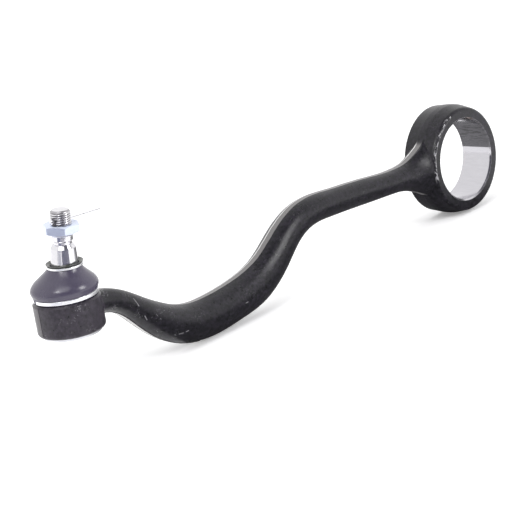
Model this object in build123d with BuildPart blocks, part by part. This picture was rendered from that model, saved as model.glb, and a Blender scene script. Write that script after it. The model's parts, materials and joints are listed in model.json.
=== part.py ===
from build123d import *
from math import cos, radians, sin, sqrt, tan
import os

# A forged suspension arm: a large eye at one end, a cranked bar, and a ball joint at the other.
# The origin is the centre of the eye's bore. The bore runs along Y, the ball joint lies
# towards -X, and the arm stands on the eye and on its elbow, with Z up. Millimetres.

# Layout of the arm
centre_distance = 412.0     # eye bore centre to ball joint axis, along X
ball_rise = 19.0            # ball centre above the bore centre
stud_lean = 5.6             # the stud rests a little off the housing's axis
stud_lean_heading = -56.0   # and leans towards this heading, from +X
pin_heading = -5.5          # the split pin's legs point this way, from +X
hole_heading = 2.0          # and lie askew in their hole

# Eye
bore_radius = 30.0
bore_chamfer = 1.0
eye_crown_radius = 40.5
eye_width = 27.0
near_face_draft = 12.0      # forging draft from the crown to each face
far_face_draft = 6.0
near_edge_radius = 2.6
far_edge_radius = 1.2
crown_edge_radius = 7.0

# Bar: the route's shares of the centre distance and heights, with the section at each
trim_land = 5.0             # flat left by trimming the flash, along the top and the bottom
bar_stations = [
    # share, height, section height, section width
    (0.187, 4.4, 17.3, 19.5),
    (0.243, 6.5, 18.0, 19.0),
    (0.298, 8.7, 18.7, 19.5),
    (0.352, 10.5, 19.3, 20.5),
    (0.402, 11.7, 20.6, 21.5),
    (0.443, 9.0, 22.2, 22.5),
    (0.480, 1.7, 23.8, 23.5),
    (0.520, -10.2, 26.8, 24.5),
    (0.568, -20.2, 29.0, 25.5),
    (0.630, -24.8, 28.6, 26.0),
    (0.700, -26.3, 28.4, 26.0),
    (0.762, -22.4, 26.2, 25.5),
    (0.812, -12.4, 23.4, 24.0),
    (0.852, -0.2, 18.8, 22.0),
    (0.887, 10.5, 15.8, 20.5),
    (0.930, 17.4, 15.8, 20.0),
]

# Neck between the eye and the bar, flaring up, down and out to the eye's faces
neck_overlap = 0.8          # the neck starts this far inside the bore, before the bore is cut
neck_stations = [
    # share of the way out from the eye's inside, top edge, bottom edge, width, width of its flats
    (0.00, 27.2, -21.5, 25.4, 3.6),
    (0.05, 25.0, -20.2, 25.8, 4.2),
    (0.10, 22.7, -18.9, 26.2, 5.2),
    (0.15, 20.9, -17.7, 26.4, 6.8),
    (0.20, 19.5, -16.4, 26.2, 8.0),
    (0.28, 17.9, -14.2, 24.2, 7.8),
    (0.39, 15.9, -11.6, 21.8, 7.0),
    (0.58, 13.4, -8.0, 20.2, 5.8),
    (0.78, 12.7, -5.4, 19.6, 5.2),
]

# Ball joint housing, with its own axis along Z
bar_end_radius = 12.5       # the bar ends inside the housing, this far from its axis
bar_end_width = 25.0        # and widens on its way in
housing_radius = 22.75
housing_below = 1.6         # underside below the ball's flat
housing_above = 10.6        # shoulder above the ball centre
shoulder_chamfer = 1.4
rolled_edge_radius = 2.4
collar_radius = 19.4
collar_height = 4.2
mouth_radius = 12.3
mouth_flare = 1.2
clip_rise = 1.0             # clip ring above the shoulder
flash_heading = 167.5       # trimmed flash down the housing's side, from +X
flash_width = 0.9
flash_proud = 0.2

# Stud, measured along its own axis from the ball centre
ball_radius = 12.5
ball_flat_cut = 2.1         # flat cut off the ball's pole
shank_radius = 6.6
flare_start = 18.0
collar_start = 27.0
taper_start = 33.0
taper_length = 13.8
taper_base_radius = 9.2
taper_half_angle = 4.5
taper_nose_length = 2.2     # rounded off at its small end
taper_nose_depth = 1.3
relief_length = 2.4
relief_radius = 6.1
relief_chamfer = 0.5
thread_radius = 7.0
thread_length = 20.8
thread_end_chamfer = 1.6

# Nut and split pin
nut_across_flats = 22.0
nut_thickness = 6.2
nut_clear_of_relief = 5.4
nut_corner_chamfer = 1.1
pin_radius = 0.8
pin_leg_length = 40.0
pin_eye_radius = 1.3
cross_hole_radius = 2.3
pin_wire = 0.8              # wire's thickness round the pin's eye
pin_leg_gap = 0.13          # between its two legs
pin_eye_sink = 0.4          # eye sunk into the hole's mouth
cross_hole_rise = 2.3       # hole centre above the nut's top
pin_drop = 0.25             # the pin lies this far under the hole's centre

# Bearing shell, cap, boot and rings
shell_wall = 3.45
shell_top_rise = 8.5        # shell's top above the ball centre
seat_mouth_rise = 7.5       # where the shell lets go of the ball
seat_mouth_flare = 1.2
cap_thickness = 2.9
cap_radius = 19.8
cap_proud = 1.9
cap_dish_radius = 7.2       # dished under the ball
cap_dish_depth = 1.7
cap_edge_chamfer = 0.5
boot_wall = 1.4
boot_bulge_radius = 22.8
boot_neck_rise = 21.4       # upper ring above the housing's shoulder
boot_neck_tilt = 2.0        # the neck follows only part of the stud's lean
lip_radius = 12.5
lip_rise = 2.4
lip_straight = 1.1          # straight part of the neck under the lip
lip_dish_start = 1.4
clip_band = 0.95
clip_height = 2.4
clip_gap = 3.2              # between the clip ring's two ends
clip_gap_heading = 157.0
neck_ring_band = 0.85
neck_ring_height = 1.5
neck_ring_drop = 0.4        # ring's lower edge under the neck's
ring_edge_radius = 0.27

# Clearances
running_clearance = 0.08
soft_clearance = 0.3
fit_clearance = 0.05

# Places worked out from the sizes above
ball_centre = Vector(-centre_distance, 0, ball_rise)
ball_flat_depth = ball_radius - ball_flat_cut
housing_bottom = ball_rise - ball_flat_depth - housing_below
housing_top = ball_rise + housing_above
collar_top = housing_top + collar_height
lean_run = tan(radians(stud_lean))
lean_x = lean_run * cos(radians(stud_lean_heading))
lean_y = lean_run * sin(radians(stud_lean_heading))
stud_direction = Vector(lean_x, lean_y, 1).normalized()


def across_stud(heading):
    """Direction square to the stud's axis that points this way, seen from above."""
    flat = Vector(cos(radians(heading)), sin(radians(heading)), 0)
    return (flat - stud_direction * flat.dot(stud_direction)).normalized()


pin_direction = across_stud(pin_heading)
hole_direction = across_stud(hole_heading)
stud_plane = Plane(origin=ball_centre, x_dir=pin_direction, z_dir=stud_direction)
stud_section = Plane(origin=ball_centre, x_dir=stud_plane.x_dir, z_dir=-stud_plane.y_dir)
stud_axis = Axis(ball_centre, stud_direction)
housing_plane = Plane(origin=(-centre_distance, 0, 0))
housing_section = Plane(origin=(-centre_distance, 0, 0), x_dir=(1, 0, 0), z_dir=(0, -1, 0))
housing_axis = Axis((-centre_distance, 0, 0), (0, 0, 1))
taper_top = taper_start + taper_length
taper_run = taper_length - taper_nose_length
taper_nose_radius = taper_base_radius - taper_run * tan(radians(taper_half_angle))
thread_start = taper_top + relief_length
thread_end = thread_start + thread_length
nut_bottom = thread_start + nut_clear_of_relief
nut_top = nut_bottom + nut_thickness
cap_bottom = housing_bottom - cap_proud
cap_seat = cap_bottom + cap_thickness
cross_hole_height = nut_top + cross_hole_rise
pin_height = cross_hole_height - pin_drop


def forged_section(height, width, flat=trim_land):
    """Bar section: flats along the top and bottom where the flash was trimmed, round flanks."""
    half_land = flat / 2
    half_height = height / 2
    with BuildSketch() as section:
        with BuildLine():
            Line((-half_land, half_height), (half_land, half_height))
            ThreePointArc((half_land, half_height), (width / 2, 0), (half_land, -half_height))
            Line((half_land, -half_height), (-half_land, -half_height))
            ThreePointArc((-half_land, -half_height), (-width / 2, 0), (-half_land, half_height))
        make_face()
    return section.sketch


# Route of the bar, as a smooth line through its stations and into the housing
bar_points = [Vector(-share * centre_distance, 0, rise) for share, rise, _, _ in bar_stations]
bar_sizes = [(height, width) for _, _, height, width in bar_stations]
housing_station = Vector(-centre_distance + bar_end_radius, 0, ball_rise)
bar_points.append(housing_station)
bar_sizes.append((bar_sizes[-1][0], bar_end_width))
with BuildLine(Plane.XZ) as route:
    Spline(*[(point.X, point.Z) for point in bar_points], tangents=((-1, -0.05), (-1, 0)))

# Forged arm: bar, neck, eye and housing in one forging
with BuildPart() as forged_arm:
    # Neck, flaring from the bar up and down the ring and out to its faces
    neck_inside = neck_overlap - bore_radius
    neck_outside = bar_points[0].X
    for share, top, bottom, width, flat in neck_stations:
        station = neck_inside + share * (neck_outside - neck_inside)
        middle = Vector(station, 0, (top + bottom) / 2)
        with BuildSketch(Plane(origin=middle, x_dir=(0, 1, 0), z_dir=(-1, 0, 0))):
            add(forged_section(top - bottom, width, flat))

    # Bar, in one smooth skin with the neck
    line = route.edges()[0]
    for point, (height, width) in zip(bar_points, bar_sizes):
        along = line.tangent_at(line.param_at_point(point))
        with BuildSketch(Plane(origin=point, x_dir=(0, 1, 0), z_dir=along)):
            add(forged_section(height, width))
    loft()

    # Eye ring, drafted from a trimmed crown to both faces
    flank = (eye_width - trim_land) / 2
    near_face_radius = eye_crown_radius - flank * tan(radians(near_face_draft))
    far_face_radius = eye_crown_radius - flank * tan(radians(far_face_draft))
    with BuildSketch(Plane.XY) as eye_profile:
        with BuildLine():
            Polyline(
                (0, -eye_width / 2),
                (near_face_radius, -eye_width / 2),
                (eye_crown_radius, -trim_land / 2),
                (eye_crown_radius, trim_land / 2),
                (far_face_radius, eye_width / 2),
                (0, eye_width / 2),
                close=True,
            )
        make_face()
        fillet(eye_profile.vertices().group_by(Axis.X)[-1], crown_edge_radius)
        rims = eye_profile.vertices().filter_by(lambda corner: abs(corner.X) > bore_radius)
        fillet(rims.group_by(Axis.Y)[0], near_edge_radius)
        fillet(rims.group_by(Axis.Y)[-1], far_edge_radius)
    revolve(axis=Axis.Y)

    # Housing, with a rolled lower edge, a chamfered shoulder and a collar for the boot
    with BuildSketch(housing_section):
        with BuildLine():
            Line((0, housing_bottom), (housing_radius - rolled_edge_radius, housing_bottom))
            RadiusArc(
                (housing_radius - rolled_edge_radius, housing_bottom),
                (housing_radius, housing_bottom + rolled_edge_radius),
                -rolled_edge_radius,
            )
            Polyline(
                (housing_radius, housing_bottom + rolled_edge_radius),
                (housing_radius, housing_top - shoulder_chamfer),
                (housing_radius - shoulder_chamfer, housing_top),
                (collar_radius, housing_top),
                (collar_radius, collar_top),
                (0, collar_top),
                (0, housing_bottom),
            )
        make_face()
    revolve(axis=housing_axis)

    # Flash left down the housing's side
    flash_foot = housing_bottom + rolled_edge_radius
    flash_plane = Plane(
        origin=(-centre_distance, 0, flash_foot),
        x_dir=(cos(radians(flash_heading)), sin(radians(flash_heading)), 0),
    )
    with BuildSketch(flash_plane):
        with Locations((housing_radius, 0)):
            Rectangle(2 * flash_proud, flash_width)
    extrude(amount=housing_top - shoulder_chamfer - flash_foot)

    # Cavity for the bearing shell, with the mouth above it that the stud swings in
    shell_radius = ball_radius + running_clearance + shell_wall
    shell_top = ball_rise + shell_top_rise
    with BuildSketch(housing_section):
        with BuildLine():
            Polyline(
                (0, cap_bottom),
                (cap_radius, cap_bottom),
                (cap_radius, cap_seat),
                (shell_radius + fit_clearance, cap_seat),
                (shell_radius + fit_clearance, shell_top + fit_clearance),
                (mouth_radius, shell_top + fit_clearance),
                (mouth_radius + mouth_flare, collar_top),
                (0, collar_top),
                close=True,
            )
        make_face()
    revolve(axis=housing_axis, mode=Mode.SUBTRACT)

    # Bore through the eye, chamfered at both faces
    with BuildSketch(Plane.XZ.offset(-eye_width)):
        Circle(bore_radius)
    extrude(amount=2 * eye_width, mode=Mode.SUBTRACT)
    bore_edges = forged_arm.edges().filter_by(GeomType.CIRCLE)
    bore_edges = bore_edges.filter_by(lambda edge: abs(edge.radius - bore_radius) < 0.01)
    chamfer(bore_edges, bore_chamfer)

# Ball stud: ball, shank, collar, taper, relief and threaded end, with the cross hole
pole_radius = sqrt(ball_radius**2 - ball_flat_depth**2)
shank_start = sqrt(ball_radius**2 - shank_radius**2)
with BuildPart() as ball_stud:
    with BuildSketch(stud_section):
        with BuildLine():
            Line((0, -ball_flat_depth), (pole_radius, -ball_flat_depth))
            ThreePointArc((pole_radius, -ball_flat_depth), (ball_radius, 0), (shank_radius, shank_start))
            Polyline(
                (shank_radius, shank_start),
                (shank_radius, flare_start),
                (taper_base_radius, collar_start),
                (taper_base_radius, taper_start),
                (taper_nose_radius, taper_top - taper_nose_length),
                (taper_nose_radius - taper_nose_depth, taper_top),
                (relief_radius, taper_top + relief_chamfer),
                (relief_radius, thread_start - relief_chamfer),
                (thread_radius, thread_start + relief_chamfer),
                (thread_radius, thread_end - thread_end_chamfer),
                (thread_radius - thread_end_chamfer, thread_end),
                (0, thread_end),
                (0, -ball_flat_depth),
            )
        make_face()
    revolve(axis=stud_axis)
    hole_origin = ball_centre + stud_direction * cross_hole_height
    with BuildSketch(Plane(origin=hole_origin, x_dir=stud_direction, z_dir=hole_direction)):
        Circle(cross_hole_radius)
    extrude(amount=2 * thread_radius, both=True, mode=Mode.SUBTRACT)

# Bearing shell: a turned polymer seat that wraps the ball past its equator
seat_radius = ball_radius + running_clearance
seat_mouth_radius = sqrt(seat_radius**2 - seat_mouth_rise**2)
seat_floor = cap_seat + fit_clearance - ball_rise
seat_floor_radius = sqrt(seat_radius**2 - seat_floor**2)
with BuildPart() as bearing_shell:
    with BuildSketch(housing_section):
        with BuildLine():
            ThreePointArc(
                (seat_floor_radius, ball_rise + seat_floor),
                (seat_radius, ball_rise),
                (seat_mouth_radius, ball_rise + seat_mouth_rise),
            )
            Polyline(
                (seat_mouth_radius, ball_rise + seat_mouth_rise),
                (seat_mouth_radius + seat_mouth_flare, shell_top),
                (shell_radius, shell_top),
                (shell_radius, ball_rise + seat_floor),
                (seat_floor_radius, ball_rise + seat_floor),
            )
        make_face()
    revolve(axis=housing_axis)

# Closing cap, pressed into the underside
with BuildPart() as closing_cap:
    with BuildSketch(housing_section):
        with BuildLine():
            Polyline(
                (0, cap_bottom),
                (cap_radius - cap_edge_chamfer, cap_bottom),
                (cap_radius - fit_clearance, cap_bottom + cap_edge_chamfer),
                (cap_radius - fit_clearance, cap_seat),
                (cap_dish_radius, cap_seat),
                (cap_dish_radius - cap_edge_chamfer, cap_seat - cap_dish_depth),
                (0, cap_seat - cap_dish_depth),
                close=True,
            )
        make_face()
    revolve(axis=housing_axis)

# Dust boot: a bead on the housing's collar, a bulge, and a neck with a lip on the taper
neck_height = (housing_top + boot_neck_rise - ball_rise) / stud_direction.Z
neck_centre = ball_centre + stud_direction * neck_height
tilt_run = tan(radians(boot_neck_tilt)) / lean_run
neck_direction = Vector(lean_x * tilt_run, lean_y * tilt_run, 1).normalized()
neck_plane = Plane(origin=neck_centre, z_dir=neck_direction)
neck_inner = taper_base_radius + soft_clearance
neck_outer = neck_inner + boot_wall
bead_inner = collar_radius + fit_clearance
bead_outer = bead_inner + boot_wall
bead_height = clip_rise + clip_height + soft_clearance


def boot_centre(share):
    """Centre of a ring of the boot, a share of the way from the housing's shoulder to the neck."""
    way = neck_centre - Vector(-centre_distance, 0, housing_top)
    bend = share**3
    return Vector(way.X * bend - centre_distance, way.Y * bend, housing_top + way.Z * share)


boot_rings = [
    # share of the way up, outer radius as a share from the neck to the bulge
    (0.22, 0.93),
    (0.37, 1.00),
    (0.52, 0.88),
    (0.67, 0.57),
    (0.80, 0.28),
    (0.91, 0.08),
]
with BuildPart() as dust_boot:
    with BuildSketch(housing_plane.offset(housing_top + fit_clearance)):
        Circle(bead_outer)
    extrude(amount=bead_height)
    with BuildSketch(housing_plane.offset(housing_top + fit_clearance + bead_height)):
        Circle(bead_outer)
    for share, swell in boot_rings:
        with BuildSketch(Plane(origin=boot_centre(share))):
            Circle(neck_outer + swell * (boot_bulge_radius - neck_outer))
    with BuildSketch(neck_plane):
        Circle(neck_outer)
    loft()
    with BuildSketch(neck_plane):
        Circle(neck_outer)
    extrude(amount=lip_straight)
    with BuildSketch(neck_plane.offset(lip_straight)):
        Circle(neck_outer)
    with BuildSketch(neck_plane.offset(lip_rise)):
        Circle(lip_radius)
    loft()

    # Hollow inside, down to the bead
    with BuildSketch(housing_plane.offset(housing_top)):
        Circle(bead_inner)
    extrude(amount=collar_height + boot_wall, mode=Mode.SUBTRACT)
    with BuildSketch(housing_plane.offset(housing_top + collar_height + boot_wall)):
        Circle(bead_inner)
    for share, swell in boot_rings[1:]:
        with BuildSketch(Plane(origin=boot_centre(share))):
            Circle(neck_inner + swell * (boot_bulge_radius - neck_outer))
    with BuildSketch(neck_plane):
        Circle(neck_inner)
    loft(mode=Mode.SUBTRACT)
    with BuildSketch(neck_plane):
        Circle(neck_inner)
    extrude(amount=lip_rise, mode=Mode.SUBTRACT)
    with BuildSketch(neck_plane.offset(lip_dish_start)):
        Circle(neck_inner)
    with BuildSketch(neck_plane.offset(lip_rise)):
        Circle(lip_radius - boot_wall / 2)
    loft(mode=Mode.SUBTRACT)

# Clip ring round the boot's bead, and the ring round its neck
with BuildPart() as boot_clip_ring:
    with BuildSketch(housing_plane.offset(housing_top + clip_rise)):
        Circle(bead_outer + fit_clearance + clip_band)
        Circle(bead_outer + fit_clearance, mode=Mode.SUBTRACT)
    extrude(amount=clip_height)
    fillet(boot_clip_ring.edges(), ring_edge_radius)
    gap_plane = Plane(
        origin=(-centre_distance, 0, housing_top + clip_rise),
        x_dir=(cos(radians(clip_gap_heading)), sin(radians(clip_gap_heading)), 0),
    )
    with BuildSketch(gap_plane):
        with Locations((bead_outer, 0)):
            Rectangle(4 * clip_band, clip_gap)
    extrude(amount=clip_height, mode=Mode.SUBTRACT)

with BuildPart() as boot_neck_ring:
    with BuildSketch(neck_plane.offset(-neck_ring_drop)):
        Circle(neck_outer + soft_clearance + neck_ring_band)
        Circle(neck_outer + soft_clearance, mode=Mode.SUBTRACT)
    extrude(amount=neck_ring_height)
    fillet(boot_neck_ring.edges(), ring_edge_radius)

# Thin hexagon nut, chamfered on both faces
nut_corner_radius = nut_across_flats / 2 / cos(radians(30))
with BuildPart() as hex_nut:
    with BuildSketch(stud_plane.offset(nut_bottom)):
        RegularPolygon(nut_corner_radius, 6)
        Circle(thread_radius + running_clearance, mode=Mode.SUBTRACT)
    extrude(amount=nut_thickness)
    with BuildSketch(stud_section):
        with BuildLine():
            Polyline(
                (0, nut_bottom),
                (nut_corner_radius - 2 * nut_corner_chamfer, nut_bottom),
                (nut_corner_radius, nut_bottom + nut_corner_chamfer),
                (nut_corner_radius, nut_top - nut_corner_chamfer),
                (nut_corner_radius - 2 * nut_corner_chamfer, nut_top),
                (0, nut_top),
                close=True,
            )
        make_face()
    revolve(axis=stud_axis, mode=Mode.INTERSECT)

# Split pin: two half-round legs, one over the other, folded round an upright eye at the head
leg_start = thread_radius - pin_eye_sink
eye_centre = leg_start + pin_eye_radius
pin_plane = stud_plane.offset(pin_height)
pin_foot = pin_plane.origin - pin_direction * leg_start
pin_side = Plane(origin=pin_plane.origin, x_dir=pin_direction, z_dir=-pin_plane.y_dir)
with BuildPart() as cotter_pin:
    with BuildSketch(Plane(origin=pin_foot, x_dir=pin_plane.y_dir, z_dir=pin_direction)):
        Circle(pin_radius)
        Rectangle(3 * pin_radius, pin_leg_gap, mode=Mode.SUBTRACT)
    extrude(amount=pin_leg_length)
    with BuildSketch(pin_side.offset(-pin_wire / 2)):
        with Locations((-eye_centre, 0)):
            Circle(pin_eye_radius + pin_wire / 2)
            Circle(pin_eye_radius - pin_wire / 2, mode=Mode.SUBTRACT)
    extrude(amount=pin_wire)

pieces = {
    "forged_arm": forged_arm,
    "ball_stud": ball_stud,
    "bearing_shell": bearing_shell,
    "closing_cap": closing_cap,
    "dust_boot": dust_boot,
    "boot_clip_ring": boot_clip_ring,
    "boot_neck_ring": boot_neck_ring,
    "hex_nut": hex_nut,
    "cotter_pin": cotter_pin,
}
os.makedirs("parts", exist_ok=True)
for piece_name, piece in pieces.items():
    piece.part.label = piece_name
    export_step(piece.part, f"parts/{piece_name}.step")
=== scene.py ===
import json
from math import cos, pi, radians, sin

import bmesh
import bpy
from bpy.props import FloatProperty, FloatVectorProperty, IntProperty, PointerProperty
from mathutils import Matrix, Vector
from mathutils.bvhtree import BVHTree


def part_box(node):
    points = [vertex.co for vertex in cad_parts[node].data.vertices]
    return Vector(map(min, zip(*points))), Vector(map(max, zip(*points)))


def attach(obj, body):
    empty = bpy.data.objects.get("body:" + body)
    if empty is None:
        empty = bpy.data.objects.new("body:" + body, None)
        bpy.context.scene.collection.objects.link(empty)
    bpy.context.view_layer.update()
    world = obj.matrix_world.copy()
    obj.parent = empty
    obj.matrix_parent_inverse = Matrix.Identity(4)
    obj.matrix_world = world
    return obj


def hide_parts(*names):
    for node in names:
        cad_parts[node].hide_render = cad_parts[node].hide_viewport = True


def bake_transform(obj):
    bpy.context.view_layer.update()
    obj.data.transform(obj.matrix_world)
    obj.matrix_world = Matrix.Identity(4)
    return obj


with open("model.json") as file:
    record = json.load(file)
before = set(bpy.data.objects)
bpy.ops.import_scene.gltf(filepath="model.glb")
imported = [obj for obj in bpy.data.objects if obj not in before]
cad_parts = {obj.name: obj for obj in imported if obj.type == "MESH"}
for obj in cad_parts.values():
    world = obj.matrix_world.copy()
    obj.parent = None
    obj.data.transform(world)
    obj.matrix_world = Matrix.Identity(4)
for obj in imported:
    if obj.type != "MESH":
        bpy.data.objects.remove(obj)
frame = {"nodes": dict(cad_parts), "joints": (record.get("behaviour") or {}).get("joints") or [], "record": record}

bl_info = {
    "name": "Suspension arm",
    "version": (1, 0, 0),
    "blender": (4, 5, 0),
    "location": "View3D > Sidebar > Suspension arm",
    "description": "Finishes a forged suspension arm with its ball joint, thread, boot and split pin",
    "category": "Object",
}

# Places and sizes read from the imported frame, in metres
MM = 0.001
JOINTS = {joint["name"]: joint for joint in frame["joints"]}
MOUNTS = {mount["name"]: mount for mount in frame["record"]["mounts"]}
BALL = Vector(JOINTS["stud_tilt"]["pos_m"])
STUD_AXIS = Vector(JOINTS["stud_spin"]["axis"]).normalized()
PIN_AXIS = -Vector(JOINTS["pin_pull"]["axis"]).normalized()
PIN_SIDE = STUD_AXIS.cross(PIN_AXIS)
BORE_RADIUS = MOUNTS["eye_bore"]["dims"]["r_mm"] * MM
ARM_LOW, ARM_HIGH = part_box("forged_arm")
STUD_TURN = Matrix((PIN_AXIS, PIN_SIDE, STUD_AXIS)).transposed().to_4x4()
STUD_PLACE = Matrix.Translation(BALL) @ STUD_TURN
UP = Vector((0, 0, 1))


def reach(name, origin, axis):
    """Each height of a CAD node's points along an axis, with the widest radius there."""
    outline = {}
    for vertex in frame["nodes"][name].data.vertices:
        offset = vertex.co - origin
        height = offset.dot(axis)
        radius = (offset - axis * height).length
        key = round(height, 5)
        outline[key] = max(radius, outline.get(key, 0.0))
    return sorted(outline.items())


NUT_HIGH = reach("hex_nut", BALL, STUD_AXIS)[-1][0]
STUD_OUTLINE = reach("ball_stud", BALL, STUD_AXIS)
THREAD_TOP = STUD_OUTLINE[-1][0]
HOUSING_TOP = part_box("boot_clip_ring")[0].z - 1.0 * MM
NECK_RING_LOW, NECK_RING_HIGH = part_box("boot_neck_ring")

# Soft bounds on the forging: each is from, to
BAR_FROM_EYE = (40.6 * MM, 42.5 * MM)
BAR_FROM_JOINT = (BALL.x + 23 * MM, BALL.x + 25 * MM)
CRANK = (-0.31, -0.28)
HOUSING_END = (-0.37, -0.30)

# Marks on the forging
LAND_NOISE = 0.9 * MM           # how ragged the trimmed land's edges are
LAND_EDGE = (2.2 * MM, 2.6 * MM)
# The land's far edge, where a highlight is painted
LAND_HIGHLIGHT_EDGE = 2.35 * MM            # its bright far edge
LAND_LINE = -2.1 * MM           # the dark line under it
CHIPPED_RADIUS = 36.6 * MM      # outer edge of the eye's near face
SCRATCH_WIDTH = 0.45 * MM
SCRATCHES = [
    (Vector(start) * MM, Vector(end) * MM)
    for start, end in (
        ((-361.5, -9.6, 12.3), (-358.8, -10.5, 6.1)),
        ((-354.6, -10.0, -2.4), (-352.8, -9.4, -5.9)),
        ((-326.6, -10.4, -24.8), (-323.0, -11.1, -25.2)),
        ((-320.8, -11.8, -25.2), (-318.6, -11.9, -25.0)),
        ((-259.9, -13.0, -25.3), (-257.7, -13.0, -25.3)),
    )
]
SEAM_COLOUR = (0.004, 0.004, 0.005)

# Painted shade in the thread roots, and the bearing shell that is hidden inside
ROOT_SHADE_COLOUR = (0.16, 0.15, 0.16)
SHELL_COLOUR = (0.70, 0.68, 0.62)
SHELL_BLOOM = (0.76, 0.74, 0.70)

# Camera, at the photograph's angle
CAMERA_PLACE = Vector((-1.72266, -1.41130, 0.56900))
CAMERA_RIGHT = Vector((0.64263, -0.74789, -0.16641))
CAMERA_UP = Vector((0.31037, 0.05553, 0.94899))

# Cards on the floor and a screen before the joint, and the lights: name, place from the arm, width, height
GREY_CARD = ((-0.380, -0.040), (-0.386, -0.190), (0.046, -0.190), (0.052, -0.011), (0.069, 0.222))
BLUE_CARD = ((-1.60, -0.34), (-0.66, -0.16), (-0.66, 0.08), (-1.60, 0.26))
SCREEN_HEADING = radians(-122)
SCREEN_AWAY = 0.33
SCREEN_HALF_WIDTH = 0.20
SCREEN_TOP = 0.12
LIGHTS = (
    ("key", Vector((-0.9, -0.5, 1.3)), 0.9, 0.9),
    ("strip", Vector((0.57, -2.12, 1.10)), 0.62, 1.2),
    ("left", Vector((-1.35, -0.26, 1.33)), 0.34, 0.34),
)


# Node trees


def node(tree, kind, inputs=None, **settings):
    """Adds a node, sets it, and links or fills its inputs."""
    made = tree.nodes.new(kind)
    for name, value in settings.items():
        setattr(made, name, value)
    for name, value in (inputs or {}).items():
        if isinstance(value, bpy.types.NodeSocket):
            tree.links.new(value, made.inputs[name])
        else:
            made.inputs[name].default_value = value
    return made


def maths(tree, operation, *values, clamp=False):
    inputs = dict(enumerate(values))
    return node(tree, "ShaderNodeMath", inputs, operation=operation, use_clamp=clamp).outputs[0]


def vector_maths(tree, operation, *values, output=0):
    inputs = dict(enumerate(values))
    return node(tree, "ShaderNodeVectorMath", inputs, operation=operation).outputs[output]


def times(tree, *values):
    """All the values multiplied."""
    product = values[0]
    for value in values[1:]:
        product = maths(tree, "MULTIPLY", product, value)
    return product


def plus(tree, first, second):
    return maths(tree, "ADD", first, second)


def minus(tree, first, second):
    return maths(tree, "SUBTRACT", first, second)


def within(tree, value, low, high):
    """1 above high, 0 below low, smooth between."""
    inputs = {"Value": value, "From Min": low, "From Max": high}
    made = node(tree, "ShaderNodeMapRange", inputs, interpolation_type="SMOOTHSTEP")
    return made.outputs["Result"]


def under(tree, value, low, high):
    """1 below low, 0 above high, smooth between."""
    return minus(tree, 1.0, within(tree, value, low, high))


def band(tree, value, middle, inner, outer):
    """1 within a distance of the middle, 0 past a wider one."""
    return under(tree, maths(tree, "ABSOLUTE", minus(tree, value, middle)), inner, outer)


def below(tree, value, limit):
    """1 below a limit, 0 above it."""
    return maths(tree, "LESS_THAN", value, limit)


def swing(tree, middle, pattern, amount):
    """A value that a pattern moves up and down."""
    return plus(tree, middle, times(tree, minus(tree, pattern, 0.5), amount))


def combine(tree, **axes):
    """A vector from its X, Y and Z."""
    return node(tree, "ShaderNodeCombineXYZ", axes).outputs[0]


def length(tree, vector):
    return vector_maths(tree, "LENGTH", vector, output="Value")


def along_way(tree, offset, way):
    """How far an offset goes along a direction."""
    return vector_maths(tree, "DOT_PRODUCT", offset, way, output="Value")


def noise(tree, place, scale, detail=3.0, roughness=0.55):
    inputs = {"Vector": place, "Scale": scale, "Detail": detail, "Roughness": roughness}
    return node(tree, "ShaderNodeTexNoise", inputs).outputs["Fac"]


def rgba(colour):
    return (*colour, 1.0)


def mix_colours(tree, share, first, second):
    """Mixes two colours, each a plain one or a socket."""
    made = node(tree, "ShaderNodeMix", data_type="RGBA")
    tree.links.new(share, made.inputs[0])
    for socket, colour in ((made.inputs[6], first), (made.inputs[7], second)):
        if isinstance(colour, bpy.types.NodeSocket):
            tree.links.new(colour, socket)
        else:
            socket.default_value = rgba(colour)
    return made.outputs[2]


def layered(tree, base, *layers):
    """Colours laid over a base. Each layer is where it lies, how strongly, and its colour."""
    for where, strength, colour in layers:
        base = mix_colours(tree, times(tree, where, strength), base, colour)
    return base


def bump(tree, height, distance, strength=1.0, normal=None):
    inputs = {"Height": height, "Distance": distance, "Strength": strength}
    if normal:
        inputs["Normal"] = normal
    return node(tree, "ShaderNodeBump", inputs).outputs["Normal"]


def new_material(name):
    """An empty node material with its shader, and the object coordinates to build on."""
    material = bpy.data.materials.new(name)
    material.use_nodes = True
    tree = material.node_tree
    tree.nodes.clear()
    shader = node(tree, "ShaderNodeBsdfPrincipled")
    node(tree, "ShaderNodeOutputMaterial", {"Surface": shader.outputs["BSDF"]})
    place = node(tree, "ShaderNodeTexCoord").outputs["Object"]
    return material, tree, shader, place


def finish(tree, shader, colour, roughness, normal):
    """Links a surface's colour, gloss and relief to its shader."""
    tree.links.new(colour, shader.inputs["Base Color"])
    tree.links.new(roughness, shader.inputs["Roughness"])
    tree.links.new(normal, shader.inputs["Normal"])


# Finishes


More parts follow.
